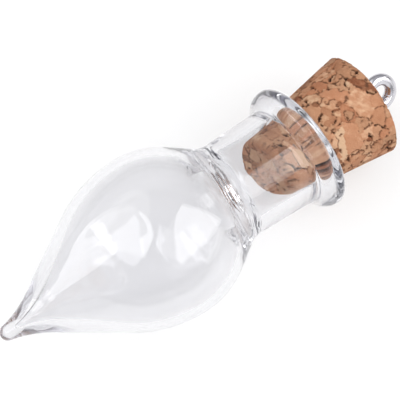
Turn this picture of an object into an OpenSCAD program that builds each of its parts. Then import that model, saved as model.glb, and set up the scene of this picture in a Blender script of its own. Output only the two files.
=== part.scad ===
// Bottle pendant: a drop-shaped glass phial closed by a tapered cork with a
// wire screw eye. It lies on its side, resting on the bulb and on the lip.
// Lengths in mm, angles in degrees. Each outline runs along the bottle's own
// axis, from the tip of the tail (s = 0) to the mouth, as [s, radius] points.

/* [Glass tail] */
// Radius of the solid rounded end of the tail
tail_end_r = 0.78; // [0.6:0.02:1.2]
// Slope of the tail where it leaves its rounded end
tail_start = 12; // [8:1:18]
// Radius of the hollow sweep from the end into the cone
tail_flare_r = 12; // [8:0.5:18]
// Half angle of the tail's cone
tail_angle = 31.4; // [28:0.2:35]

/* [Glass bulb] */
// Radius of the bulb at its widest
bulb_r = 8.5; // [7.5:0.1:11]
// Radius of the curve from the cone up to the widest place
tail_arc_r = 13.2; // [11:0.1:16]
// Radius of the curve from the widest place down to the shoulder
neck_arc_r = 8.8; // [8:0.1:10]
// Slope of the shoulder where it runs down to the neck
shoulder_angle = 34; // [30:1:40]
// Thickness of the blown wall of the bulb
bulb_wall = 0.85; // [0.6:0.05:1.1]
// Depth of the small flat under the bulb, which keeps it from rolling
rest_flat = 0.1; // [0.06:0.01:0.2]

/* [Glass neck] */
// Outer radius of the neck at its base
neck_r = 4.97; // [4.4:0.01:5.6]
// Length from the neck's base to the crest of the lip
neck_len = 7.9; // [6.6:0.1:11]
// Angle by which the neck widens towards the lip
neck_taper = 1.6; // [0:0.1:2.5]
// Radius of the hollow corner between shoulder and neck
neck_fillet_r = 3; // [1.5:0.1:4]
// Thickness of the neck's wall
neck_wall = 1.35; // [1.1:0.05:1.6]

/* [Ring inside the neck's base] */
// How far the ring of thick glass stands into the bore
ring_depth = 0.34; // [0.15:0.01:0.5]
// Radius of the ring's rounded crest
ring_round = 0.9; // [0.6:0.1:1.3]
// Radius of the hollow behind the ring, towards the mouth
ring_back_r = 1.2; // [0.9:0.1:2]

/* [Hollow of the tail] */
// How much steeper the hollow's cone is than the outer cone
cavity_extra = 4.6; // [3.5:0.1:6]
// Slope at the hollow's pointed end
cavity_start = 9; // [6:1:12]
// Radius of the hollow's own sweep
cavity_flare_r = 12; // [11:0.5:14]
// Radius of the hollow's rounded point
cavity_tip_r = 0.15; // [0.1:0.01:0.25]

/* [Lip] */
// Radius of the lip at its crest
lip_r = 6.56; // [6.3:0.01:7.6]
// Radius of the lip's back, between the neck and the crest
lip_back_r = 1.6; // [1.45:0.05:2]
// Radius of the lip's outer edge, between the crest and the mouth
lip_edge_r = 0.72; // [0.5:0.02:0.85]
// Radius of the mouth's rounded inner edge
mouth_round = 1.3; // [1:0.05:1.45]
// Angle by which the lip was pressed out of square
lip_lean = 3; // [0:0.1:4]
// Direction of that lean, and of the cork's, about the axis from straight up
lean_turn = 72.6; // [0:0.2:90]

/* [Cork] */
// Length of the cork
cork_len = 12.3; // [9:0.1:16]
// Length of the cork that is pushed in below the mouth
cork_grip = 4.9; // [3.5:0.1:5.6]
// Gap between the cork and the bore at its tightest place
cork_gap = 0.15; // [0.1:0.01:0.25]
// Taper of the pressed part in the neck
grip_taper = 5.5; // [4:0.1:7]
// Taper of the free part outside
free_taper = 8; // [5:0.1:10]
// How far the cork swells where it comes free of the glass
cork_swell = 0.8; // [0.4:0.02:1]
// Length over which it swells
swell_len = 1.8; // [1.4:0.1:2.6]
// Depth below the mouth at which the swelling starts
swell_inset = 0.6; // [0.4:0.05:0.8]
// Rounding of the cork's rims
cork_edge = 0.25; // [0.1:0.01:0.4]
// Angle by which the cork leans in the neck
cork_lean = 1.8; // [0:0.1:2]
// Slant of the cut at the cork's small end
cut_slant = 9; // [0:0.5:12]
// Direction of the longest side of that cut, from straight up
cut_turn = 128; // [0:1:180]

/* [Screw eye] */
// Diameter of the wire
wire_d = 1.2; // [0.8:0.05:1.4]
// Radius of the eye, to the middle of the wire
eye_r = 1.38; // [1.2:0.01:2]
// Opening left between the wire's end and its shank
eye_slit = 0.3; // [0.15:0.05:0.5]
// Turn of the eye about the cork, from straight up
eye_turn = 38; // [0:1:180]
// Length of the shank inside the cork
shank_len = 6.5; // [4:0.1:8]
// Gap around the shank and under the eye
eye_gap = 0.04; // [0.02:0.01:0.1]

/* [Hidden] */
$fn = 96;
arc_steps = 14;
// How far cutting solids run past the faces that they cut
past = 1;

// The tail: rounded end, hollow sweep, then a straight cone to the bulb
tail_out = tail_end_r * [1 - sin(tail_start), 0] + [0, tail_end_r * cos(tail_start)];
cone_start = tail_out + sweep_up(tail_flare_r, tail_start, tail_angle);
bulb_foot_r = bulb_r - tail_arc_r * (1 - cos(tail_angle));
bulb_foot_s = cone_start[0] + (bulb_foot_r - cone_start[1]) / tan(tail_angle);
bulb_s = bulb_foot_s + tail_arc_r * sin(tail_angle);
tail_arc_c = [bulb_s, bulb_r - tail_arc_r];
neck_arc_c = [bulb_s, bulb_r - neck_arc_r];

// The shoulder and the neck's base
shoulder_end = neck_arc_c + neck_arc_r * [sin(shoulder_angle), cos(shoulder_angle)];
fillet_in_r = neck_r + neck_fillet_r * (cos(neck_taper) - cos(shoulder_angle));
fillet_in_s = shoulder_end[0] + (shoulder_end[1] - fillet_in_r) / tan(shoulder_angle);
fillet_c = [fillet_in_s, fillet_in_r]
    + neck_fillet_r * [sin(shoulder_angle), cos(shoulder_angle)];
neck_s = fillet_c[0] + neck_fillet_r * sin(neck_taper);

// The lip and the mouth, measured along the axis
lip_s = neck_s + neck_len;
mouth_s = lip_s + lip_edge_r;
throat_s = mouth_s - mouth_round;

// The hollow: its point, its cone, and the ring at the neck's base
cavity_angle = tail_angle + cavity_extra;
cavity_arc_r = tail_arc_r - bulb_wall;
cavity_foot = tail_arc_c + cavity_arc_r * [-sin(cavity_angle), cos(cavity_angle)];
cavity_sweep = sweep_up(cavity_flare_r, cavity_start, cavity_angle);
cavity_cone_r = cavity_tip_r * cos(cavity_start) + cavity_sweep[1];
cavity_cone_s = cavity_foot[0] - (cavity_foot[1] - cavity_cone_r) / tan(cavity_angle);
cavity_out = [cavity_cone_s, cavity_cone_r] - cavity_sweep;
cavity_tip_c = [cavity_out[0] + cavity_tip_r * sin(cavity_start), 0];
dome_r = neck_arc_r - bulb_wall;
bore_r = neck_r - neck_wall;
ring_c_r = bore_r - ring_depth + ring_round;
ring_c = [neck_arc_c[0] + sqrt(pow(dome_r + ring_round, 2) - pow(ring_c_r - neck_arc_c[1], 2)),
    ring_c_r];
ring_turn = atan2(ring_c[1] - neck_arc_c[1], ring_c[0] - neck_arc_c[0]);
back_drop = ring_c[1] - (bore_r - ring_back_r);
back_c = [ring_c[0] + sqrt(pow(ring_round + ring_back_r, 2) - pow(back_drop, 2)),
    bore_r - ring_back_r];
back_turn = atan2(back_drop, back_c[0] - ring_c[0]);

// Rest: the floor touches the flat on the bulb's neck side and the lip's edge
lip_c_r = lip_r - lip_edge_r;
flat_reach = neck_arc_r - rest_flat;
rest_run = [lip_s - neck_arc_c[0], lip_c_r - neck_arc_c[1]];
slope = asin((flat_reach - lip_edge_r) / norm(rest_run)) - atan2(rest_run[1], rest_run[0]);
lip_tilt = cos(lip_lean) * sin(slope) - sin(lip_lean) * cos(lean_turn) * cos(slope);
bulb_reach = neck_arc_c[0] * sin(slope) + neck_arc_c[1] * cos(slope) + flat_reach;
lip_reach = lip_s * sin(slope) + lip_c_r * sqrt(1 - lip_tilt * lip_tilt) + lip_edge_r;
axis_height = max(bulb_reach, lip_reach);

// The cork, measured from the mouth along its own axis
wire_r = wire_d / 2;
throat_in = cork_grip - mouth_round;
throat_r = bore_at(throat_s) - cork_gap;
grip_end_r = throat_r + (mouth_round - swell_inset) * tan(grip_taper);
small_r = throat_r - throat_in * tan(grip_taper);
swell_r = grip_end_r + cork_swell;
cork_top = cork_len - cork_grip;
cork_top_r = swell_r + (cork_top - swell_len + swell_inset) * tan(free_taper);
cut_drop = small_r * tan(cut_slant);

// The eye sits on the cork's large end
eye_s = cork_top + eye_r + wire_r + eye_gap;
slit_angle = (wire_d + eye_slit) / eye_r * 180 / PI;

// Middle of the whole length, from the tail's end to the top of the eye
low_x = tail_end_r * (cos(slope) - 1);
stopper_x = cos(cork_lean) * cos(slope) + sin(cork_lean) * cos(lean_turn) * sin(slope);
high_x = mouth_s * cos(slope) + (eye_s + eye_r) * stopper_x + wire_r;
middle_x = (low_x + high_x) / 2;

// Place of the flat under the bulb, along the floor
flat_x = neck_arc_c[0] * cos(slope) - neck_arc_c[1] * sin(slope) - middle_x;

// Rise along a hollow sweep of radius r while its slope goes from a to b
function sweep_up(r, a, b) = r * [sin(b) - sin(a), cos(a) - cos(b)];

// Points on a circle of radius r about c, from angle a to angle b
function arc(c, r, a, b) = [for (i = [0 : arc_steps])
    let (t = a + (b - a) * i / arc_steps) c + r * [cos(t), sin(t)]];

// The same arc without its first point, where another line already ends there
function arc_on(c, r, a, b) = let (p = arc(c, r, a, b)) [for (i = [1 : arc_steps]) p[i]];

// Outer radius of the neck, and radius of its bore, at a place along the axis
function neck_at(s) = neck_r + (s - neck_s) * tan(neck_taper);
function bore_at(s) = neck_at(s) - neck_wall;

// A solid turned about the axis from its outline, closed along the axis
module turned(outline) {
    rotate_extrude() polygon([for (p = outline) [p[1], p[0]]]);
}

// Leans its children about the point of the axis at s, towards lean_turn
module leaned(s, angle) {
    translate([0, 0, s]) rotate([0, 0, -lean_turn]) rotate([0, angle, 0])
        rotate([0, 0, lean_turn]) children();
}

// Lays the bottle down: the axis slopes to the lip, and x is up before it
module laid_down() {
    translate([-middle_x, 0, axis_height]) rotate([0, 90 + slope, 0]) rotate([0, 0, 180])
        children();
}

// Outside of the tail, bulb and neck, up to the lip's crest
module glass_body() {
    turned(concat(
        arc([tail_end_r, 0], tail_end_r, 180, 90 + tail_start),
        arc_on(tail_out + tail_flare_r * [-sin(tail_start), cos(tail_start)], tail_flare_r,
            tail_start - 90, tail_angle - 90),
        arc(tail_arc_c, tail_arc_r, 90 + tail_angle, 90),
        arc_on(neck_arc_c, neck_arc_r, 90, 90 - shoulder_angle),
        arc(fillet_c, neck_fillet_r, -90 - shoulder_angle, -90 + neck_taper),
        [[lip_s, neck_at(lip_s)], [lip_s, 0]]));
}

// Rounded lip, from its back to the face of the mouth
module glass_lip() {
    turned(concat([[-lip_back_r, 0]],
        arc([0, lip_r - lip_back_r], lip_back_r, 180, 90),
        arc_on([0, lip_c_r], lip_edge_r, 90, 0),
        [[lip_edge_r, 0]]));
}

// The hollow from the tail's point through the ring and along the bore
module glass_hollow() {
    turned(concat(
        arc(cavity_tip_c, cavity_tip_r, 180, 90 + cavity_start),
        arc_on(cavity_out + cavity_flare_r * [-sin(cavity_start), cos(cavity_start)],
            cavity_flare_r, cavity_start - 90, cavity_angle - 90),
        arc(tail_arc_c, cavity_arc_r, 90 + cavity_angle, 90),
        arc_on(neck_arc_c, dome_r, 90, ring_turn),
        arc_on(ring_c, ring_round, 180 + ring_turn, 360 - back_turn),
        arc_on(back_c, ring_back_r, 180 - back_turn, 90),
        [[mouth_s + past, bore_at(mouth_s + past)], [mouth_s + past, 0]]));
}

// Rounded mouth, which opens from just inside the bore's wall
module glass_mouth() {
    inside_r = bore_at(throat_s) - cork_gap / 2;
    turned(concat([[throat_s - lip_s - past, 0], [throat_s - lip_s - past, inside_r]],
        arc([throat_s - lip_s, inside_r + mouth_round], mouth_round, -90, 0),
        [[lip_edge_r + past, inside_r + mouth_round], [lip_edge_r + past, 0]]));
}

// What the small flat takes off the bulb, where the floor meets it
module under_flat() {
    translate([flat_x - bulb_r / 2, -bulb_r / 2, -past]) cube([bulb_r, bulb_r, past]);
}

// Glass phial: blown bulb drawn to a tail, thick ring, neck and pressed lip
module glass_bottle() {
    color([0.9, 0.91, 0.94, 0.35]) difference() {
        laid_down() difference() {
            union() {
                glass_body();
                leaned(lip_s, lip_lean) glass_lip();
            }
            glass_hollow();
            leaned(lip_s, lip_lean) glass_mouth();
        }
        under_flat();
    }
}

// Tapered cork: pressed in the neck, swollen where it comes free
module cork() {
    color([0.78, 0.56, 0.38]) laid_down() leaned(mouth_s, cork_lean) difference() {
        turned(concat([[-cork_grip - cut_drop, 0]],
            [[-cork_grip - cut_drop, small_r - cut_drop * tan(grip_taper)]],
            [[-swell_inset, grip_end_r]],
            [for (i = [1 : arc_steps]) let (t = i / arc_steps)
                [-swell_inset + swell_len * t, grip_end_r + cork_swell * (1 - cos(180 * t)) / 2]],
            arc([cork_top - cork_edge, cork_top_r - cork_edge], cork_edge, 90, 0),
            [[cork_top, 0]]));
        slanted_cut();
        shank_hole();
    }
}

// What the slanted saw cut takes off the cork's small end
module slanted_cut() {
    rotate([0, 0, -cut_turn]) translate([0, 0, -cork_grip]) rotate([0, cut_slant, 0])
        translate([-2 * small_r, -2 * small_r, -4 * small_r]) cube(4 * small_r);
}

// Hole that the shank has cut for itself in the cork
module shank_hole() {
    translate([0, 0, cork_top - shank_len]) cylinder(h = shank_len + past, r = wire_r + eye_gap);
    translate([0, 0, cork_top - shank_len - wire_d])
        cylinder(h = wire_d, r1 = 0, r2 = wire_r + eye_gap);
}

// Screw eye: one wire bent to a ring, with its pointed shank in the cork
module screw_eye() {
    color([0.8, 0.8, 0.84]) laid_down() leaned(mouth_s, cork_lean) rotate([0, 0, -eye_turn]) {
        translate([0, 0, eye_s]) rotate([90, 90, 0]) {
            rotate_extrude(angle = 360 - slit_angle) translate([eye_r, 0]) circle(wire_r);
            rotate([0, 0, -slit_angle]) translate([eye_r, 0, 0]) sphere(wire_r);
        }
        translate([0, 0, eye_s - eye_r]) sphere(wire_r);
        translate([0, 0, cork_top - shank_len])
            cylinder(h = shank_len + eye_s - eye_r - cork_top, r = wire_r);
        translate([0, 0, cork_top - shank_len - wire_d + eye_gap])
            cylinder(h = wire_d - eye_gap, r1 = 0, r2 = wire_r);
    }
}

glass_bottle();
cork();
screw_eye();
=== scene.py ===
import bpy
import numpy as np
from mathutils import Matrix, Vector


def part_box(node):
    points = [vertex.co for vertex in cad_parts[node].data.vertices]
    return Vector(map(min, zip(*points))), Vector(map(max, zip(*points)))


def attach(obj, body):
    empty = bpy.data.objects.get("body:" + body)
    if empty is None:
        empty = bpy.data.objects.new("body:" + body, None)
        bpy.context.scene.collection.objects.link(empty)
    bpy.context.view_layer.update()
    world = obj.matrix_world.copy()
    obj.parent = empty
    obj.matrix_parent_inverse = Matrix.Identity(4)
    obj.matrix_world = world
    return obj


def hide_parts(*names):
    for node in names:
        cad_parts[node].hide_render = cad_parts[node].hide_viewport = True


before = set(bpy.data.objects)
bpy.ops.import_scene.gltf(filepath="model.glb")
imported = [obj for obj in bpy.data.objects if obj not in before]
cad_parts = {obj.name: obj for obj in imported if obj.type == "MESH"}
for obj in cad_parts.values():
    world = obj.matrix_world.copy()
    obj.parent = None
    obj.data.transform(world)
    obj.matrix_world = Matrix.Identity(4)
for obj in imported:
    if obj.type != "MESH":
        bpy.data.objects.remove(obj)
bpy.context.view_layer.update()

# The phial: one piece of clear glass. The bulb is blown and drawn out to a tail at
# one end, a thick ring is left inside the foot of the neck, and the lip is rolled
# and pressed while hot. It lies on a small flat under the bulb and on the lip's edge.

# Lengths in millimetres and angles in degrees. Places run along the phial's axis from
# the tip of the tail, and out from it.
tail_end_r = 0.78
tail_start = 12
tail_flare_r = 12
tail_angle = 31.4
bulb_r = 8.5
tail_arc_r = 13.2
neck_arc_r = 8.8
shoulder_angle = 34
bulb_wall = 0.85
rest_flat = 0.1
neck_r = 4.97
neck_len = 7.9
neck_taper = 1.6
neck_fillet_r = 3
neck_wall = 1.35
ring_depth = 0.34
ring_round = 0.9
ring_back_r = 1.2
cavity_angle = tail_angle + 4.6
cavity_start = 9
cavity_flare_r = 12
cavity_tip_r = 0.15
lip_r = 6.56
lip_back_r = 1.6
lip_edge_r = 0.72
lip_root_r = 0.5
mouth_round = 1.3
lip_lean = 3
lean_turn = 72.6
lean_rise = 1.6
lean_rise_out = 1

# The ring's unevenness, the glass strands in it and the mesh
ring_uneven = 0.06
ring_reach = 4.5
strand_gap = 0.75
strand_depth = 0.032
strand_wander = 2.6
strand_middle = 0.3
strand_reach = 1.7
phial_sides = 192
phial_step = 0.32


def sine(degrees):
    """Sine of an angle in degrees."""
    return np.sin(np.radians(degrees))


def cosine(degrees):
    """Cosine of an angle in degrees."""
    return np.cos(np.radians(degrees))


def sweep(radius, low, high):
    """Step along a hollow sweep while its slope goes from low to high: radius times the
    change of the slope's sine along the axis, and of its cosine out from it."""
    return radius * np.array([sine(high) - sine(low), cosine(low) - cosine(high)])


def bow(centre, radius, start, end):
    """Part of a circle about centre from start to end degrees, as steps along the axis
    and out from it, with a point at least every 4 degrees and every quarter millimetre."""
    swept = abs(end - start)
    count = int(np.ceil(max(swept / 4, np.radians(swept) * radius / 0.25, 2)))
    turn = np.linspace(start, end, count + 1)
    return np.array(centre) + radius * np.stack([cosine(turn), sine(turn)], axis=1)


def outline(pieces, step, least=0.02):
    """The pieces joined to one line, with points added so that none are more than a step
    apart along it, and points that lie closer than the least distance left out."""
    line = np.concatenate([np.atleast_2d(piece) for piece in pieces])
    far = np.concatenate([[0], np.cumsum(np.linalg.norm(np.diff(line, axis=0), axis=1))])
    new = np.concatenate([[True], np.diff(far) > 1e-6])
    line, far = line[new], far[new]
    places = np.union1d(far, np.arange(0, far[-1], step))
    keep = np.concatenate([[True], np.diff(places[:-1]) > least, [True]])
    places = places[keep]
    return np.stack([np.interp(places, far, line[:, i]) for i in (0, 1)], axis=1)


# The outside, from the tip of the tail to the neck's foot
tail_out = np.array([tail_end_r * (1 - sine(tail_start)), tail_end_r * cosine(tail_start)])
cone_start = tail_out + sweep(tail_flare_r, tail_start, tail_angle)
bulb_foot_r = bulb_r - tail_arc_r * (1 - cosine(tail_angle))
bulb_foot_s = cone_start[0] + (bulb_foot_r - cone_start[1]) / np.tan(np.radians(tail_angle))
bulb_s = bulb_foot_s + tail_arc_r * sine(tail_angle)
tail_arc_c = np.array([bulb_s, bulb_r - tail_arc_r])
neck_arc_c = np.array([bulb_s, bulb_r - neck_arc_r])
shoulder_end = neck_arc_c + neck_arc_r * np.array([sine(shoulder_angle), cosine(shoulder_angle)])
fillet_in_r = neck_r + neck_fillet_r * (cosine(neck_taper) - cosine(shoulder_angle))
fillet_in_s = shoulder_end[0] + (shoulder_end[1] - fillet_in_r) / np.tan(np.radians(shoulder_angle))
fillet_c = np.array([fillet_in_s + neck_fillet_r * sine(shoulder_angle),
                     fillet_in_r + neck_fillet_r * cosine(shoulder_angle)])
neck_s = fillet_c[0] + neck_fillet_r * sine(neck_taper)
lip_s = neck_s + neck_len
mouth_s = lip_s + lip_edge_r
throat_s = mouth_s - mouth_round


def neck_at(along):
    """Outer radius of the neck: its foot's radius plus the way up times the taper's tangent."""
    return neck_r + (along - neck_s) * np.tan(np.radians(neck_taper))


# The lip: a small hollow root, a round back, the crest and the outer edge
lip_back_c = np.array([lip_s, lip_r - lip_back_r])
lip_c_r = lip_r - lip_edge_r
root_reach = lip_back_r + lip_root_r
root_rise = neck_at(lip_s - lip_back_r) + lip_root_r - lip_back_c[1]
root_c = np.array([lip_s - np.sqrt(root_reach**2 - root_rise**2), lip_back_c[1] + root_rise])
root_turn = np.degrees(np.arcsin(root_rise / root_reach))

# The hollow, from the mouth down the bore, over the ring and through the bulb
bore_r = neck_r - neck_wall
throat_r = neck_at(throat_s) - neck_wall
dome_r = neck_arc_r - bulb_wall
ring_c_r = bore_r - ring_depth + ring_round
ring_run = np.sqrt((dome_r + ring_round) ** 2 - (ring_c_r - neck_arc_c[1]) ** 2)
ring_c = np.array([neck_arc_c[0] + ring_run, ring_c_r])
ring_turn = np.degrees(np.arctan2(ring_c[1] - neck_arc_c[1], ring_run))
back_drop = ring_c[1] - (bore_r - ring_back_r)
back_run = np.sqrt((ring_round + ring_back_r) ** 2 - back_drop**2)
back_c = np.array([ring_c[0] + back_run, bore_r - ring_back_r])
back_turn = np.degrees(np.arctan2(back_drop, back_run))
cavity_arc_r = tail_arc_r - bulb_wall
cavity_foot = tail_arc_c + cavity_arc_r * np.array([-sine(cavity_angle), cosine(cavity_angle)])
cavity_sweep = sweep(cavity_flare_r, cavity_start, cavity_angle)
cavity_cone_r = cavity_tip_r * cosine(cavity_start) + cavity_sweep[1]
cavity_run = (cavity_foot[1] - cavity_cone_r) / np.tan(np.radians(cavity_angle))
cavity_out = np.array([cavity_foot[0] - cavity_run, cavity_cone_r]) - cavity_sweep
cavity_tip_c = np.array([cavity_out[0] + cavity_tip_r * sine(cavity_start), 0])

tail_flare_c = tail_out + tail_flare_r * np.array([-sine(tail_start), cosine(tail_start)])
cavity_flare_c = cavity_out + cavity_flare_r * np.array([-sine(cavity_start), cosine(cavity_start)])
phial_outline = outline([
    bow([tail_end_r, 0], tail_end_r, 180, 90 + tail_start),
    bow(tail_flare_c, tail_flare_r, tail_start - 90, tail_angle - 90),
    bow(tail_arc_c, tail_arc_r, 90 + tail_angle, 90),
    bow(neck_arc_c, neck_arc_r, 90, 90 - shoulder_angle),
    bow(fillet_c, neck_fillet_r, -90 - shoulder_angle, -90 + neck_taper),
    bow(root_c, lip_root_r, -90, -root_turn),
    bow(lip_back_c, lip_back_r, 180 - root_turn, 90),
    bow([lip_s, lip_c_r], lip_edge_r, 90, 0),
    bow([throat_s, throat_r + mouth_round], mouth_round, 0, -90),
    bow(back_c, ring_back_r, 90, 180 - back_turn),
    bow(ring_c, ring_round, 360 - back_turn, 180 + ring_turn),
    bow(neck_arc_c, dome_r, ring_turn, 90),
    bow(tail_arc_c, cavity_arc_r, 90, 90 + cavity_angle),
    bow(cavity_flare_c, cavity_flare_r, cavity_angle - 90, cavity_start - 90),
    bow(cavity_tip_c, cavity_tip_r, 90 + cavity_start, 180),
], phial_step)
phial_outline[[0, -1], 1] = 0

# Where the pendant lies: the floor touches the flat under the bulb and the lip's edge
flat_reach = neck_arc_r - rest_flat
rest_run = np.array([lip_s, lip_c_r]) - neck_arc_c
rest_far = np.linalg.norm(rest_run)
rest_turn = np.arctan2(rest_run[1], rest_run[0])
slope = np.degrees(np.arcsin((flat_reach - lip_edge_r) / rest_far) - rest_turn)
lip_tilt = cosine(lip_lean) * sine(slope) - sine(lip_lean) * cosine(lean_turn) * cosine(slope)
axis_height = lip_s * sine(slope) + lip_c_r * np.sqrt(1 - lip_tilt**2) + lip_edge_r
tail_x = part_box("glass_bottle")[0][0] * 1000 - tail_end_r * (cosine(slope) - 1)
axis_way = np.array([cosine(slope), 0, -sine(slope)])
axis_up = np.array([sine(slope), 0, cosine(slope)])
axis_side = np.array([0, -1, 0])


def around(line, count):
    """The line turned about the axis: each of its points becomes a ring of count points,
    out by its radius towards up at angle zero and towards the side at a quarter turn."""
    turn = np.linspace(0, 2 * np.pi, count, endpoint=False)
    out = line[:, 1, None]
    along = np.broadcast_to(line[:, 0, None], (len(line), count))
    return np.stack([out * np.cos(turn), out * np.sin(turn), along], axis=-1)


def leaned(points, place, angle):
    """Points turned by the angle about the axis's point at that place, towards lean_turn:
    the point times the cosine, plus its cross product with the pivot times the sine, plus
    its part along the pivot times what the cosine lacks of one."""
    pivot = np.array([sine(lean_turn), cosine(lean_turn), 0])
    moved = points - [0, 0, place]
    angle = np.asarray(angle)[..., None]
    along = (moved @ pivot)[..., None] * pivot
    turned = moved * cosine(angle) + np.cross(pivot, moved) * sine(angle) + along * (1 - cosine(angle))
    return turned + [0, 0, place]


def laid_down(points):
    """Points of the phial's own frame put where it lies: the way along the axis, up and
    to the side are each multiplied by the point's part and added to the tail's place."""
    frame_ways = np.array([axis_up, axis_side, axis_way])
    return points @ frame_ways + [tail_x, 0, axis_height]


def smooth(low, high, value):
    """Zero at low and beyond it, one at high and beyond it, and between them three times
    the share of the way squared, less twice its cube."""
    share = np.clip((value - low) / (high - low), 0, 1)
    return share * share * (3 - 2 * share)


def waves(points, seed, count, length):
    """Soft random relief between about -1 and 1: the sum of count sine waves of about that
    length, which run in random directions, over a multiple of the root of their number."""
    draw = np.random.default_rng(seed)
    ways = draw.normal(size=(count, 3))
    ways /= np.linalg.norm(ways, axis=1)[:, None]
    ways *= 2 * np.pi / (length * draw.uniform(0.7, 1.5, (count, 1)))
    phase = draw.uniform(0, 2 * np.pi, count)
    return np.sin(points @ ways.T + phase).sum(-1) * np.sqrt(2 / count) / 1.6


def closed_skin(name, points):
    """A closed mesh from a grid of points in millimetres: rows run along the piece and
    columns go round it, its first and last rows are single points, and faces point out."""
    rows, columns = points.shape[:2]
    inner = points[1:-1].reshape(-1, 3)
    spots = np.concatenate([points[:1, 0], inner, points[-1:, 0]]) / 1000
    here = np.arange(columns)
    after = (here + 1) % columns
    start = 1 + columns * np.arange(rows - 3)[:, None]
    quads = np.stack([start + here, start + after, start + columns + after, start + columns + here], -1)
    last = 1 + columns * (rows - 3)
    first_fan = np.stack([np.zeros_like(here), 1 + after, 1 + here], -1)
    last_fan = np.stack([last + here, last + after, np.full_like(here, len(spots) - 1)], -1)
    mesh = bpy.data.meshes.new(name)
    faces = first_fan.tolist() + quads.reshape(-1, 4).tolist() + last_fan.tolist()
    mesh.from_pydata(spots.tolist(), [], faces)
    mesh.shade_smooth()
    piece = bpy.data.objects.new(name, mesh)
    bpy.context.scene.collection.objects.link(piece)
    return piece


phial_points = around(phial_outline, phial_sides)
along = phial_points[..., 2]
inside = np.arange(len(phial_outline))[:, None] > np.argmax(phial_outline[:, 0])

# Inside, the ring is uneven and its strands are waves along the axis that wander round it
ring_share = smooth(ring_reach, 1.2, np.abs(along - ring_c[0])) * inside
uneven = ring_uneven * waves(phial_points * [1, 1, 0.6], 11, 10, 4) * ring_share
strand_share = smooth(strand_reach, 0.8, np.abs(along - ring_c[0] - strand_middle)) * inside
strand_bend = strand_wander * waves(phial_points * [1, 1, 0.4], 12, 10, 3.2)
uneven += strand_depth * np.sin(2 * np.pi * along / strand_gap + strand_bend) * strand_share
phial_points[..., :2] *= 1 + (uneven / np.maximum(phial_outline[:, 1], 1)[:, None])[..., None]

# The lip leans as a whole, and the wall bends over a short way below it
lip_foot_s = lip_s - lip_back_r
lean_share = np.where(inside, smooth(throat_s - lean_rise, throat_s, along),
                      smooth(lip_foot_s - lean_rise_out, lip_foot_s, along))
phial_points = laid_down(leaned(phial_points, lip_s, lip_lean * lean_share))
phial_points[..., 2] = np.maximum(phial_points[..., 2], 0)
phial = closed_skin("phial", phial_points)

clear_glass = bpy.data.materials.new("clear_glass")
clear_glass.use_nodes = True
glass_nodes = clear_glass.node_tree.nodes
glass_links = clear_glass.node_tree.links
glass_shader = glass_nodes["Principled BSDF"]
glass_shader.inputs["Base Color"].default_value = (0.93, 0.93, 0.94, 1)
glass_shader.inputs["Roughness"].default_value = 0
glass_shader.inputs["IOR"].default_value = 1.5
glass_shader.inputs["Transmission Weight"].default_value = 1
glass_place = glass_nodes.new("ShaderNodeTexCoord")
glass_stretch = glass_nodes.new("ShaderNodeMapping")
glass_stretch.inputs["Scale"].default_value = (90, 420, 420)
glass_striae = glass_nodes.new("ShaderNodeTexNoise")
glass_striae.inputs["Scale"].default_value = 1
glass_striae.inputs["Detail"].default_value = 2
glass_bump = glass_nodes.new("ShaderNodeBump")
glass_bump.inputs["Strength"].default_value = 0.12
glass_bump.inputs["Distance"].default_value = 0.00006
glass_links.new(glass_place.outputs["Object"], glass_stretch.inputs["Vector"])
glass_links.new(glass_stretch.outputs["Vector"], glass_striae.inputs["Vector"])
glass_links.new(glass_striae.outputs["Fac"], glass_bump.inputs["Height"])
glass_links.new(glass_bump.outputs["Normal"], glass_shader.inputs["Normal"])

# Thick glass takes a little of the light, and least of the blue
glass_depth = glass_nodes.new("ShaderNodeVolumeAbsorption")
glass_depth.inputs["Color"].default_value = (0.28, 0.28, 0.36, 1)
glass_depth.inputs["Density"].default_value = 22
glass_links.new(glass_depth.outputs["Volume"], glass_nodes["Material Output"].inputs["Volume"])

# Light reaches the floor through the glass, a little dimmed at each face
glass_pass = glass_nodes.new("ShaderNodeBsdfTransparent")
glass_pass.inputs["Color"].default_value = (0.94, 0.94, 0.948, 1)
glass_path = glass_nodes.new("ShaderNodeLightPath")
glass_either = glass_nodes.new("ShaderNodeMath")
glass_either.operation = "MAXIMUM"
glass_mix = glass_nodes.new("ShaderNodeMixShader")
glass_links.new(glass_path.outputs["Is Shadow Ray"], glass_either.inputs[0])
glass_links.new(glass_path.outputs["Is Diffuse Ray"], glass_either.inputs[1])
glass_links.new(glass_either.outputs[0], glass_mix.inputs[0])
glass_links.new(glass_shader.outputs[0], glass_mix.inputs[1])
glass_links.new(glass_pass.outputs[0], glass_mix.inputs[2])
glass_links.new(glass_mix.outputs[0], glass_nodes["Material Output"].inputs["Surface"])

phial.data.materials.append(clear_glass)
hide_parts("glass_bottle")
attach(phial, "bottle")

# The cork: a tapered plug turned from a block of pressed cork granules, pushed into
# the neck so that it swells where it comes free of the lip. Its small end is sawn a
# little askew, its rims are worn, and granules have broken out of its side.

cork_len = 12.3
cork_grip = 4.9
cork_gap = 0.15
grip_taper = 5.5
free_taper = 8
cork_swell = 0.8
swell_len = 1.8
swell_inset = 0.6
cork_edge = 0.25
cork_lean = 1.8
cork_end_round = 0.35
cut_slant = 12
cut_turn = 128
cut_drop = 0.2
cut_start = -2.2
wire_r = 0.6
shank_len = 6.5
shank_room = 0.04
hole_r = wire_r + shank_room
cork_sides = 318
cork_step = 0.09
cork_least_step = 0.03

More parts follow.
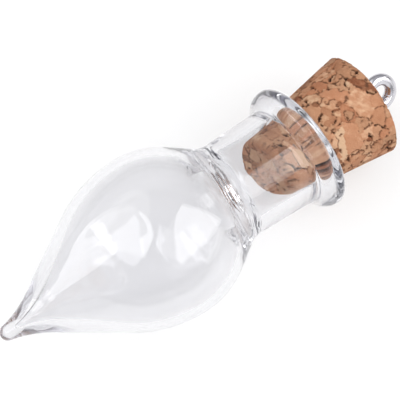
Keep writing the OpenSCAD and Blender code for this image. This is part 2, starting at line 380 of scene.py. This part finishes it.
# The cork's outline, from the middle of its small end to the foot of the shank's hole.
# Its places run along the cork's own axis from the mouth.
throat_free_r = throat_r - cork_gap
grip_end_r = throat_free_r + (mouth_round - swell_inset) * np.tan(np.radians(grip_taper))
small_r = throat_free_r - (cork_grip - mouth_round) * np.tan(np.radians(grip_taper))
swell_r = grip_end_r + cork_swell
cork_top = cork_len - cork_grip
cork_top_r = swell_r + (cork_top - swell_len + swell_inset) * np.tan(np.radians(free_taper))
swell_share = np.linspace(0, 1, 16)
swell_line = np.stack([-swell_inset + swell_len * swell_share,
                       grip_end_r + cork_swell * (1 - np.cos(np.pi * swell_share)) / 2], axis=1)
cut_end = cork_end_round - cork_grip
cork_outline = outline([
    [[-cork_grip, 0]],
    bow([cut_end, small_r - cork_end_round], cork_end_round, 180, 90),
    swell_line,
    bow([cork_top - cork_edge, cork_top_r - cork_edge], cork_edge, 90, 0),
    [[cork_top, hole_r], [cork_top - shank_len, hole_r], [cork_top - shank_len - 2 * wire_r, 0]],
], cork_step, cork_least_step)
cork_points = around(cork_outline, cork_sides)

# The slanting cut moves the points near the small end along the axis, by their distance
# out towards the cut's low side times the tangent of its slant
cork_turn = np.linspace(0, 2 * np.pi, cork_sides, endpoint=False)
cut_share = smooth(cut_start, cut_end, cork_points[..., 2])
cut_share *= np.arange(len(cork_outline))[:, None] < np.argmax(cork_outline[:, 1])
cut_reach = cork_outline[:, 1:] * np.cos(cork_turn + np.radians(cut_turn))
cork_points[..., 2] -= cut_share * (cut_reach * np.tan(np.radians(cut_slant)) + cut_drop)

# Granules: flakes pressed together, each the region nearest to its own middle, where
# near is measured with the flake's own size, stretch and turn. The first ones are the
# large flakes beside the lip's upper side: up, side and along of the middle, the same of
# the long way, then half the length, half the width, tone and warmth.
large_flakes = np.array([
    (5.05, -0.25, 6.55, 0.10, 0.85, 0.52, 1.75, 0.52, 0.02, 0.60),
    (3.36, 2.96, 1.72, -0.67, 0.68, -0.29, 1.60, 0.42, 0.97, 0.25),
    (4.70, -0.90, 3.82, 0.24, 0.77, 0.59, 1.15, 0.66, 0.62, 0.95),
    (4.55, 1.35, 5.35, -0.15, 0.86, 0.48, 1.45, 1.20, 0.74, 0.70),
    (3.20, 3.24, 2.98, -0.68, 0.72, 0.14, 1.60, 0.95, 0.66, 0.80),
    (4.20, -0.74, 1.12, 0.25, 0.94, 0.22, 1.10, 0.75, 0.60, 0.45),
    (4.00, 3.20, 6.30, -0.60, 0.70, 0.20, 1.10, 0.80, 0.50, 0.65),
    (2.90, 1.60, -2.60, -0.30, 0.80, 0.50, 1.20, 0.80, 1.00, 0.40),
])
block_low = (-6.6, -6.6, -6.8)
block_high = (6.6, 6.6, 8.6)
block_flakes = 4800
flake_size = 0.36
coarse_share = 0.2
coarse_times = 2.1
dark_share = 0.07
dark_tone = 0.08
tone_low = 0.15
tone_rise = 0.72
skin_depth = 1.5
skin_over = 1
end_depth = 1.6
flake_draw = np.random.default_rng(5)
flake_middles = flake_draw.uniform(block_low, block_high, (block_flakes, 3))
flake_out = np.linalg.norm(flake_middles[:, :2], axis=1)
flake_along = flake_middles[:, 2]
cork_r_there = np.interp(flake_along, [-cork_grip, -swell_inset, swell_len - swell_inset, cork_top],
                         [small_r, grip_end_r, swell_r, cork_top_r])
near_skin = (flake_out > cork_r_there - skin_depth) & (flake_out < cork_r_there + skin_over)
near_skin |= (flake_along < end_depth - cork_grip) | (flake_along > cork_top - end_depth)
for flake in large_flakes:
    apart = flake_middles - flake[:3]
    lengthwise = apart @ flake[3:6]
    crosswise = (apart**2).sum(1) - lengthwise**2
    near_skin &= lengthwise**2 / flake[6] ** 2 + crosswise / flake[7] ** 2 > 1.25
flake_middles = np.concatenate([large_flakes[:, :3], flake_middles[near_skin]])
flake_count = len(flake_middles)
large_count = len(large_flakes)
flake_ways = flake_draw.normal(size=(flake_count, 3, 3))
flake_ways[:large_count, :, 0] = large_flakes[:, 3:6]
flake_turns = np.linalg.qr(flake_ways)[0]
flake_sizes = flake_size * np.exp(flake_draw.normal(0, 0.32, (flake_count, 3)))
flake_sizes *= np.where(flake_draw.uniform(size=flake_count) < coarse_share, coarse_times, 1)[:, None]
flake_sizes[:large_count] = large_flakes[:, [6, 7, 7]]
flake_stretch = np.einsum("nij,nj,nkj->nik", flake_turns, flake_sizes**-2.0, flake_turns)
flake_tone = tone_low + tone_rise * flake_draw.beta(3.4, 2.2, flake_count)
flake_tone[flake_draw.uniform(size=flake_count) < dark_share] = dark_tone
flake_tone[:large_count] = large_flakes[:, 8]
flake_warmth = flake_draw.uniform(0, 1, flake_count)
flake_warmth[:large_count] = large_flakes[:, 9]
flake_height = flake_draw.normal(0, 1, flake_count)
flake_slant = flake_draw.normal(0, 1, (flake_count, 3))
flake_start = flake_draw.uniform(0, 40, (flake_count, 3))


def pair_chance(first, second, salt):
    """A fixed number between 0 and 1 for each pair of flakes, the same in either order:
    the part after the point of a large multiple of the sine of their mixed numbers."""
    low = np.minimum(first, second)
    high = np.maximum(first, second)
    return np.modf(np.abs(np.sin(low * 12.9898 + high * 78.233 + salt) * 43758.5453))[0]


def pressed_flakes(points):
    """For each point: its flake, and its distance to the border with the second nearest
    flake and with the third. A point's measure for a flake is its stretched distance
    squared, and a border's distance is the difference of two measures over its slope."""
    x, y, z = points.T
    terms = np.stack([x * x, y * y, z * z, 2 * x * y, 2 * x * z, 2 * y * z, x, y, z, np.ones_like(x)], 1)
    s = flake_stretch
    pull = np.einsum("nij,nj->ni", s, flake_middles)
    rest = np.einsum("ni,ni->n", pull, flake_middles)
    weights = np.stack([s[:, 0, 0], s[:, 1, 1], s[:, 2, 2], s[:, 0, 1], s[:, 0, 2], s[:, 1, 2],
                        -2 * pull[:, 0], -2 * pull[:, 1], -2 * pull[:, 2], rest])
    measure = terms @ weights
    nearest = np.argpartition(measure, 3, axis=1)[:, :3]
    found = np.take_along_axis(measure, nearest, 1)
    order = np.argsort(found, axis=1)
    nearest = np.take_along_axis(nearest, order, 1)
    found = np.take_along_axis(found, order, 1)
    to_middle = points[:, None] - flake_middles[nearest]
    slopes = 2 * np.einsum("pfij,pfj->pfi", flake_stretch[nearest], to_middle)
    second = (found[:, 1] - found[:, 0]) / np.linalg.norm(slopes[:, 1] - slopes[:, 0], axis=1)
    third = (found[:, 2] - found[:, 0]) / np.linalg.norm(slopes[:, 2] - slopes[:, 0], axis=1)
    return nearest, second, third


# Where the skin's points lie in the flakes. The borders are bent first, and then some of
# them gape as cracks, some corners where three flakes meet have lost a crumb, each flake
# stands a little higher or lower and slants, and its colour runs in streaks.
warp_by = 0.1
warp_fine_by = 0.035
crack_depth = 0.1
crack_thin = 0.07
crack_gape = 0.08
crack_waver = 0.03
pit_depth = 0.3
pit_reach = 0.3
flake_lift = 0.026
flake_lean = 0.03
lift_low = -0.075
lift_high = 0.05
lift_edge = 0.12
grain_fine = 0.014
grain_coarse = 0.02
seam_width = 0.13
streak_tone = 0.045
cloud_tone = 0.06
seam_tone = 0.14
flat_points = cork_points.reshape(-1, 3)
warp = np.stack([waves(flat_points, seed, 9, 0.8) for seed in (21, 22, 23)], axis=1)
warp_fine = np.stack([waves(flat_points, seed, 9, 0.3) for seed in (24, 25, 26)], axis=1)
bent_points = flat_points + warp_by * warp + warp_fine_by * warp_fine
flake_parts = [pressed_flakes(part) for part in np.array_split(bent_points, 24)]
nearest, second, third = (np.concatenate(part) for part in zip(*flake_parts))
own = nearest[:, 0]
crack_chance = pair_chance(own, nearest[:, 1], 0.3)
crack_wide = crack_gape * smooth(0.82, 1, crack_chance)
crack_width = crack_thin + crack_wide + crack_waver * waves(flat_points, 31, 12, 0.4)
crack_run = smooth(-0.45, 0.15, waves(flat_points, 30, 14, 0.8))
crack_and_painted_shade = smooth(crack_width, crack_width * 0.3, second) * smooth(0.22, 0.36, crack_chance) * crack_run
meeting = np.sort(nearest, axis=1)
pit_chance = pair_chance(meeting[:, 0] + 0.37 * meeting[:, 1], 5000 + meeting[:, 2], 1.7)
pit_size = pit_reach * smooth(0.6, 1.0, pit_chance) * (1 + 0.5 * waves(flat_points, 32, 12, 0.3))
pit_and_painted_shade = smooth(pit_size + 0.04, pit_size * 0.4, second + third) * smooth(0.78, 0.84, pit_chance)
flake_offset = flat_points - flake_middles[own]
lift = flake_lift * flake_height[own] + flake_lean * (flake_slant[own] * flake_offset).sum(1)
lift = np.clip(lift, lift_low, lift_high) * smooth(0, lift_edge, second)
grain = grain_fine * waves(flat_points, 33, 24, 0.22)
grain += grain_coarse * waves(flat_points, 34, 16, 0.6)
flake_frame = np.einsum("pi,pij->pj", flake_offset, flake_turns[own]) + flake_start[own]
streak = waves(flake_frame * [0.22, 1, 0.8], 36, 26, 0.26)
seam = smooth(seam_width, 0, second)
cloud = waves(flat_points, 35, 20, 0.9)
tone = flake_tone[own] + streak_tone * streak + cloud_tone * cloud - seam_tone * seam
tone = np.clip(tone, 0, 1)

# The skin moves along its own normal, and the shank's hole stays as it was bored
across = np.roll(cork_points, -1, 1) - np.roll(cork_points, 1, 1)
down = np.gradient(cork_points, axis=0)
skin_normal = np.cross(across, down)
skin_normal /= np.maximum(np.linalg.norm(skin_normal, axis=-1), 1e-9)[..., None]
skin_normal[0] = [0, 0, -1]
hole_rim = np.argmin(np.linalg.norm(cork_outline - [cork_top, hole_r], axis=1))
moving = smooth(hole_rim - 1, hole_rim - 6, np.arange(len(cork_outline)))[:, None]
relief = (lift + grain - crack_depth * crack_and_painted_shade - pit_depth * pit_and_painted_shade).reshape(cork_points.shape[:2])
relief = np.minimum(relief, 0) * moving
relief[0] = relief[0].mean()
cork_points = cork_points + relief[..., None] * skin_normal
cork_piece = closed_skin("cork_plug", laid_down(leaned(cork_points, 0, cork_lean) + [0, 0, mouth_s]))


def spread_on(piece, name, values):
    """Writes one number per point of a grid onto the mesh that closed_skin made of it."""
    inner = values[1:-1].ravel()
    numbers = np.concatenate([values[:1, 0], inner, values[-1:, 0]])
    field = piece.data.attributes.new(name, "FLOAT", "POINT")
    field.data.foreach_set("value", numbers.astype(np.float32))


grid_shape = relief.shape
spread_on(cork_piece, "flake_tone", tone.reshape(grid_shape))
spread_on(cork_piece, "flake_warmth", flake_warmth[own].reshape(grid_shape))
spread_on(cork_piece, "crack_and_painted_shade", crack_and_painted_shade.reshape(grid_shape) * moving)
spread_on(cork_piece, "pit_and_painted_shade", pit_and_painted_shade.reshape(grid_shape) * moving)

pressed_cork = bpy.data.materials.new("pressed_cork")
pressed_cork.use_nodes = True
cork_nodes = pressed_cork.node_tree.nodes
cork_links = pressed_cork.node_tree.links
cork_shader = cork_nodes["Principled BSDF"]
cork_shader.inputs["Roughness"].default_value = 0.8
cork_shader.inputs["Specular IOR Level"].default_value = 0.3


def field_of(nodes, name):
    """The number that a mesh carries under that name, as a node's output."""
    field = nodes.new("ShaderNodeAttribute")
    field.attribute_name = name
    return field.outputs["Fac"]


def colours(nodes, links, value, stops):
    """A colour for a number, blended evenly between the stops' places and colours."""
    ramp = nodes.new("ShaderNodeValToRGB")
    for extra in stops[2:]:
        ramp.color_ramp.elements.new(extra[0])
    for element, (place, colour) in zip(ramp.color_ramp.elements, stops):
        element.position = place
        element.color = (*colour, 1)
    links.new(value, ramp.inputs["Fac"])
    return ramp.outputs["Color"]


def blended(nodes, links, share, first, second):
    """Two colours mixed by a share: each may be a colour or another node's output."""
    mix = nodes.new("ShaderNodeMix")
    mix.data_type = "RGBA"
    links.new(share, mix.inputs["Factor"])
    for socket, colour in ((mix.inputs["A"], first), (mix.inputs["B"], second)):
        if isinstance(colour, tuple):
            socket.default_value = (*colour, 1)
        else:
            links.new(colour, socket)
    return mix.outputs["Result"]


cork_place = cork_nodes.new("ShaderNodeTexCoord").outputs["Object"]
cork_fine = cork_nodes.new("ShaderNodeTexNoise")
cork_fine.inputs["Scale"].default_value = 3200
cork_fine.inputs["Detail"].default_value = 5
cork_links.new(cork_place, cork_fine.inputs["Vector"])
cork_mottle = cork_nodes.new("ShaderNodeMath")
cork_mottle.operation = "MULTIPLY_ADD"
cork_mottle.inputs[1].default_value = 0.3
cork_links.new(cork_fine.outputs["Fac"], cork_mottle.inputs[0])
cork_links.new(field_of(cork_nodes, "flake_tone"), cork_mottle.inputs[2])
flake_colour = colours(cork_nodes, cork_links, cork_mottle.outputs[0], [
    (0.12, (0.205, 0.078, 0.038)),
    (0.35, (0.340, 0.160, 0.086)),
    (0.6, (0.430, 0.219, 0.122)),
    (0.85, (0.490, 0.268, 0.156)),
    (1.0, (0.600, 0.385, 0.245)),
])
warmth_hue = cork_nodes.new("ShaderNodeMapRange")
warmth_hue.inputs["To Min"].default_value = 0.504
warmth_hue.inputs["To Max"].default_value = 0.492
warmth_depth = cork_nodes.new("ShaderNodeMapRange")
warmth_depth.inputs["To Min"].default_value = 0.98
warmth_depth.inputs["To Max"].default_value = 1.1
flake_warm = cork_nodes.new("ShaderNodeHueSaturation")
for warmth_range, socket in ((warmth_hue, "Hue"), (warmth_depth, "Saturation")):
    cork_links.new(field_of(cork_nodes, "flake_warmth"), warmth_range.inputs["Value"])
    cork_links.new(warmth_range.outputs["Result"], flake_warm.inputs[socket])
cork_links.new(flake_colour, flake_warm.inputs["Color"])
# The cracks are coloured dark brown: partly the dark inside of the open gap, and partly painted shade in
# it.
crack_shade_share = cork_nodes.new("ShaderNodeMath")
crack_shade_share.operation = "MULTIPLY"
crack_shade_share.inputs[1].default_value = 0.92
cork_links.new(field_of(cork_nodes, "crack_and_painted_shade"), crack_shade_share.inputs[0])
crack_and_shade_colour = (0.12, 0.05, 0.025)
# The pits are painted near black: this is painted shade in the hollows where crumbs have broken out.
painted_pit_shade = (0.035, 0.014, 0.007)
with_crack_shade = blended(cork_nodes, cork_links, crack_shade_share.outputs[0], flake_warm.outputs[0], crack_and_shade_colour)
with_pit_shade = blended(cork_nodes, cork_links, field_of(cork_nodes, "pit_and_painted_shade"), with_crack_shade, painted_pit_shade)
cork_links.new(with_pit_shade, cork_shader.inputs["Base Color"])
cork_pores = cork_nodes.new("ShaderNodeTexVoronoi")
cork_pores.inputs["Scale"].default_value = 5200
cork_links.new(cork_place, cork_pores.inputs["Vector"])
cork_bump = cork_nodes.new("ShaderNodeBump")
cork_bump.inputs["Strength"].default_value = 0.5
cork_bump.inputs["Distance"].default_value = 0.00008
cork_links.new(cork_pores.outputs["Distance"], cork_bump.inputs["Height"])
cork_links.new(cork_bump.outputs["Normal"], cork_shader.inputs["Normal"])

cork_piece.data.materials.append(pressed_cork)
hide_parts("cork")
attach(cork_piece, "stopper")

# The screw eye: one bright plated wire. Its pointed shank is screwed down the middle of
# the cork, and above the cork it bends over into a ring that stops just short of the shank.

eye_r = 1.38
eye_slit = 0.3
eye_turn = 38
eye_gap = 0.04
bend_r = 0.7
wire_sides = 48
wire_step = 0.08
cut_crown = 0.75
cut_fullness = 0.7
eye_s = cork_top + eye_r + wire_r + eye_gap
slit_angle = np.degrees((2 * wire_r + eye_slit) / eye_r)
bend_rise = np.sqrt((eye_r + bend_r) ** 2 - bend_r**2)
bend_turn = np.degrees(np.arctan2(bend_r, bend_rise))

# The wire's middle line, along the cork's axis and out to the side that the ring bends to
wire_line = outline([
    [[cork_top - shank_len - 2 * wire_r + 2 * eye_gap, 0], [cork_top - shank_len, 0], [cork_top, 0]],
    bow([eye_s - bend_rise, bend_r], bend_r, -90, -bend_turn),
    bow([eye_s, 0], eye_r, 180 - bend_turn, slit_angle - 180),
], wire_step)
wire_ways = np.gradient(wire_line, axis=0)
wire_ways /= np.linalg.norm(wire_ways, axis=1)[:, None]
wire_far = np.concatenate([[0], np.cumsum(np.linalg.norm(np.diff(wire_line, axis=0), axis=1))])
point_len = 2 * wire_r
wire_thick = wire_r * np.clip(wire_far / point_len, 0, 1)

# The cut end: the rim is rounded over and the face is a little crowned
cap_turn = np.linspace(90, 0, 14)[1:]
cap_out = wire_r * sine(cap_turn) ** cut_fullness
cap_on = cut_crown * wire_r * cosine(cap_turn)
cap_line = wire_line[-1] + cap_on[:, None] * wire_ways[-1]
wire_line = np.concatenate([wire_line, cap_line])
wire_ways = np.concatenate([wire_ways, np.repeat(wire_ways[-1:], len(cap_line), 0)])
wire_thick = np.concatenate([wire_thick, cap_out])
wire_thick[[0, -1]] = 0


def drawn_wire(line, ways, thick, sides):
    """A wire of round section along a line that lies in a plane: at each of its points a
    circle of the wire's thickness is set out by the line's normal and the plane's."""
    turn = np.linspace(0, 2 * np.pi, sides, endpoint=False)
    in_plane = thick[:, None] * np.cos(turn)
    off_plane = thick[:, None] * np.sin(turn)
    along = line[:, :1] - ways[:, 1:] * in_plane
    out = line[:, 1:] + ways[:, :1] * in_plane
    return np.stack([out, off_plane, along], axis=-1)


eye_points = drawn_wire(wire_line, wire_ways, wire_thick, wire_sides)
eye_points = np.stack([
    eye_points[..., 0] * cosine(eye_turn) + eye_points[..., 1] * sine(eye_turn),
    eye_points[..., 1] * cosine(eye_turn) - eye_points[..., 0] * sine(eye_turn),
    eye_points[..., 2],
], axis=-1)
eye_piece = closed_skin("wire_eye", laid_down(leaned(eye_points, 0, cork_lean) + [0, 0, mouth_s]))

bright_wire = bpy.data.materials.new("bright_wire")
bright_wire.use_nodes = True
wire_nodes = bright_wire.node_tree.nodes
wire_links = bright_wire.node_tree.links
wire_shader = wire_nodes["Principled BSDF"]
wire_shader.inputs["Metallic"].default_value = 1
wire_place = wire_nodes.new("ShaderNodeTexCoord").outputs["Object"]
wire_cloud = wire_nodes.new("ShaderNodeTexNoise")
wire_cloud.inputs["Scale"].default_value = 900
wire_cloud.inputs["Detail"].default_value = 6
wire_links.new(wire_place, wire_cloud.inputs["Vector"])
wire_links.new(colours(wire_nodes, wire_links, wire_cloud.outputs["Fac"], [
    (0.3, (0.60, 0.59, 0.62)),
    (0.7, (0.76, 0.75, 0.80)),
]), wire_shader.inputs["Base Color"])
wire_rough = wire_nodes.new("ShaderNodeMapRange")
wire_rough.inputs["To Min"].default_value = 0.12
wire_rough.inputs["To Max"].default_value = 0.26
wire_links.new(wire_cloud.outputs["Fac"], wire_rough.inputs["Value"])
wire_links.new(wire_rough.outputs["Result"], wire_shader.inputs["Roughness"])
wire_bump = wire_nodes.new("ShaderNodeBump")
wire_bump.inputs["Strength"].default_value = 0.25
wire_bump.inputs["Distance"].default_value = 0.00003
wire_links.new(wire_cloud.outputs["Fac"], wire_bump.inputs["Height"])
wire_links.new(wire_bump.outputs["Normal"], wire_shader.inputs["Normal"])

eye_piece.data.materials.append(bright_wire)
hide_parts("screw_eye")
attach(eye_piece, "stopper")

# The place: a plain table in a pale room, its top glowing with painted light, lit by two large softboxes
# and the reflectors beside them, and seen from above the tail's side as the photograph was taken.

table_half = 1.5
table_drop = 0.00002
table_mesh = bpy.data.meshes.new("table")
table_corners = [(-1, -1), (1, -1), (1, 1), (-1, 1)]
table_spots = [(x * table_half, y * table_half, -table_drop) for x, y in table_corners]
table_mesh.from_pydata(table_spots, [], [(0, 1, 2, 3)])
table = bpy.data.objects.new("table", table_mesh)
bpy.context.scene.collection.objects.link(table)
glowing_table = bpy.data.materials.new("glowing_table")
glowing_table.use_nodes = True
table_shader = glowing_table.node_tree.nodes["Principled BSDF"]
table_shader.inputs["Base Color"].default_value = (0.4, 0.4, 0.4, 1)
# Painted light: the table's top gives off light of its own, which makes it white and keeps the shadows
# on it faint.
table_shader.inputs["Emission Color"].default_value = (1, 1, 1, 1)
table_shader.inputs["Roughness"].default_value = 0.7
table_nodes = glowing_table.node_tree.nodes
table_links = glowing_table.node_tree.links

# Its glow is even under the pendant and fades past the picture's edge, so that the glass
# rims mirror a darker ground
table_away = table_nodes.new("ShaderNodeVectorMath")
table_away.operation = "LENGTH"
table_links.new(table_nodes.new("ShaderNodeTexCoord").outputs["Object"], table_away.inputs[0])
table_glow = table_nodes.new("ShaderNodeMapRange")
table_glow.interpolation_type = "SMOOTHSTEP"
table_glow.inputs["From Min"].default_value = 0.03
table_glow.inputs["From Max"].default_value = 0.08
table_glow.inputs["To Min"].default_value = 0.54
table_glow.inputs["To Max"].default_value = 0.1
table_links.new(table_away.outputs["Value"], table_glow.inputs["Value"])
table_links.new(table_glow.outputs["Result"], table_shader.inputs["Emission Strength"])
table_mesh.materials.append(glowing_table)

room = bpy.data.worlds.new("room")
room.use_nodes = True
room_nodes = room.node_tree.nodes
room_links = room.node_tree.links
room_way = room_nodes.new("ShaderNodeTexCoord")

# The room is bright on the tail's and the near side, and dim past the cork and behind
room_height = room_nodes.new("ShaderNodeSeparateXYZ")
room_links.new(room_way.outputs["Generated"], room_height.inputs["Vector"])
open_side = colours(room_nodes, room_links, room_height.outputs["Z"], [
    (0.02, (0.25, 0.25, 0.26)),
    (0.2, (0.52, 0.52, 0.54)),
    (0.5, (0.86, 0.86, 0.88)),
    (0.9, (0.56, 0.56, 0.58)),
])
dim_side = colours(room_nodes, room_links, room_height.outputs["Z"], [
    (0.04, (0.01, 0.01, 0.012)),
    (0.14, (0.36, 0.36, 0.38)),
    (0.45, (0.42, 0.42, 0.44)),
    (0.9, (0.56, 0.56, 0.58)),
])
dim_way = room_nodes.new("ShaderNodeMath")
room_links.new(room_height.outputs["X"], dim_way.inputs[0])
room_links.new(room_height.outputs["Y"], dim_way.inputs[1])
dim_share = room_nodes.new("ShaderNodeMapRange")
dim_share.inputs["From Min"].default_value = 0.1
dim_share.inputs["From Max"].default_value = 0.8
room_links.new(dim_way.outputs[0], dim_share.inputs["Value"])
room_light = blended(room_nodes, room_links, dim_share.outputs["Result"], open_side, dim_side)
room_links.new(room_light, room_nodes["Background"].inputs["Color"])
bpy.context.scene.world = room


def aimed(name, data, place, target, up):
    """Puts a camera at a place so that it looks at the target: its back is the
    way from the target to it, its right is across up and back, and its top is square to both."""
    back = np.array(place) - np.array(target)
    back = back / np.linalg.norm(back)
    right = np.cross(up, back)
    right = right / np.linalg.norm(right)
    top = np.cross(back, right)
    piece = bpy.data.objects.new(name, data)
    matrix = np.eye(4)
    matrix[:3, :3] = np.stack([right, top, back], axis=1)
    matrix[:3, 3] = place
    piece.matrix_world = matrix.T.tolist()
    bpy.context.scene.collection.objects.link(piece)
    return piece


def light_panel(name, corner_ways, brightness, far=0.5):
    """A glowing panel whose corners lie in the given directions from the pendant, all
    that far from it: each direction is divided by its length and multiplied by far."""
    corners = np.array(corner_ways)
    corners *= far / np.linalg.norm(corners, axis=1)[:, None]
    mesh = bpy.data.meshes.new(name)
    mesh.from_pydata(corners.tolist(), [], [range(len(corners))])
    glow = bpy.data.materials.new(name)
    glow.use_nodes = True
    glow_nodes = glow.node_tree.nodes
    glow_shader = glow_nodes.new("ShaderNodeEmission")
    glow_shader.inputs["Strength"].default_value = brightness
    glow.node_tree.links.new(glow_shader.outputs[0], glow_nodes["Material Output"].inputs["Surface"])
    mesh.materials.append(glow)
    panel = bpy.data.objects.new(name, mesh)
    panel.visible_camera = False
    bpy.context.scene.collection.objects.link(panel)


# The panels lie in the directions in which the bulb mirrors the bright shapes on it
light_panel("side_softbox", [
    (0.60, 0.04, 0.80), (0.77, -0.13, 0.63), (0.88, -0.27, 0.39), (0.92, -0.39, 0.10),
    (0.81, -0.55, 0.21), (0.29, -0.83, 0.48), (0.07, -0.90, 0.44), (0.03, -0.81, 0.58),
    (0.14, -0.60, 0.79), (0.23, -0.35, 0.91), (0.40, -0.08, 0.91),
], 2.9)
light_panel("back_softbox", [
    (0.01, 0.45, 0.89), (0.00, 0.12, 0.99), (0.00, -0.09, 1.00), (-0.05, -0.24, 0.97),
    (-0.19, -0.37, 0.91), (-0.32, -0.50, 0.80), (-0.39, -0.40, 0.83), (-0.46, -0.20, 0.86),
    (-0.56, 0.02, 0.83), (-0.65, 0.01, 0.76), (-0.65, 0.08, 0.76), (-0.63, 0.24, 0.74),
    (-0.58, 0.53, 0.61), (-0.53, 0.73, 0.44), (-0.48, 0.83, 0.29), (-0.36, 0.82, 0.45),
    (-0.20, 0.78, 0.59), (-0.02, 0.65, 0.76),
], 1.4)
light_panel("back_strip", [
    (-0.56, 0.02, 0.83), (-0.65, -0.02, 0.76), (-0.66, 0.08, 0.75), (-0.64, 0.24, 0.73),
    (-0.59, 0.53, 0.61), (-0.53, 0.73, 0.44), (-0.48, 0.83, 0.29), (-0.36, 0.82, 0.45),
    (-0.38, 0.60, 0.70), (-0.50, 0.25, 0.83),
], 3.6, 0.46)
light_panel("back_fill", [
    (-0.47, 0.82, 0.31), (-0.42, 0.83, 0.37), (-0.32, 0.82, 0.47), (-0.20, 0.78, 0.59),
    (-0.03, 0.65, 0.76), (0.01, 0.45, 0.89), (-0.17, 0.41, 0.90), (-0.42, 0.39, 0.82),
    (-0.57, 0.44, 0.70),
], 1.9, 0.47)
light_panel("back_edge", [
    (0.02, 0.41, 0.91), (0.04, 0.14, 0.99), (-0.02, -0.17, 0.99), (-0.20, -0.37, 0.91),
    (-0.34, -0.47, 0.81), (-0.24, -0.10, 0.97), (-0.15, 0.25, 0.95),
], 3, 0.465)
light_panel("side_core", [
    (0.42, -0.15, 0.89), (0.36, -0.40, 0.84), (0.30, -0.74, 0.60), (0.42, -0.74, 0.52),
    (0.58, -0.52, 0.62), (0.58, -0.20, 0.79),
], 3.9, 0.49)
light_panel("low_reflector", [
    (0.86, -0.50, 0.02), (0.36, -0.93, 0.02), (0.34, -0.92, 0.18), (0.84, -0.50, 0.18),
], 1.6)
light_panel("back_reflector", [
    (-0.17, 0.79, 0.59), (-0.02, 0.84, 0.54), (0.12, 0.81, 0.57), (0.23, 0.68, 0.70),
    (0.23, 0.51, 0.83), (0.10, 0.24, 0.97), (0.00, 0.17, 0.98), (0.01, 0.45, 0.89),
    (-0.02, 0.65, 0.76),
], 1.1)
light_panel("top_reflector", [
    (-0.03, -0.30, 0.95), (0.22, -0.22, 0.95), (0.40, -0.08, 0.91), (0.23, -0.35, 0.91),
    (0.14, -0.60, 0.79), (0.03, -0.81, 0.58), (-0.10, -0.67, 0.74), (-0.16, -0.48, 0.86),
], 1.1)
light_panel("end_reflector", [
    (0.91, 0.07, 0.41), (0.98, 0.08, 0.17), (0.99, -0.04, 0.11), (0.95, -0.18, 0.24),
    (0.90, -0.18, 0.40), (0.89, -0.05, 0.46),
], 1.6)

camera_data = bpy.data.cameras.new("camera")
camera_data.lens = 283.14
camera_data.sensor_width = 36
camera_data.clip_start = 0.01
camera_place = (-0.06252, -0.08501, 0.29061)
camera_target = (-0.00024, 0.000246, 0.009811)
camera = aimed("camera", camera_data, camera_place, camera_target, (0, 0, 1))
bpy.context.scene.camera = camera
bpy.context.scene.view_settings.view_transform = "Standard"

# Light crosses the thick glass of the tail and lip many times before it comes out
glass_crossings = 32
bpy.context.scene.cycles.max_bounces = glass_crossings
bpy.context.scene.cycles.transmission_bounces = glass_crossings
bpy.context.scene.cycles.glossy_bounces = glass_crossings
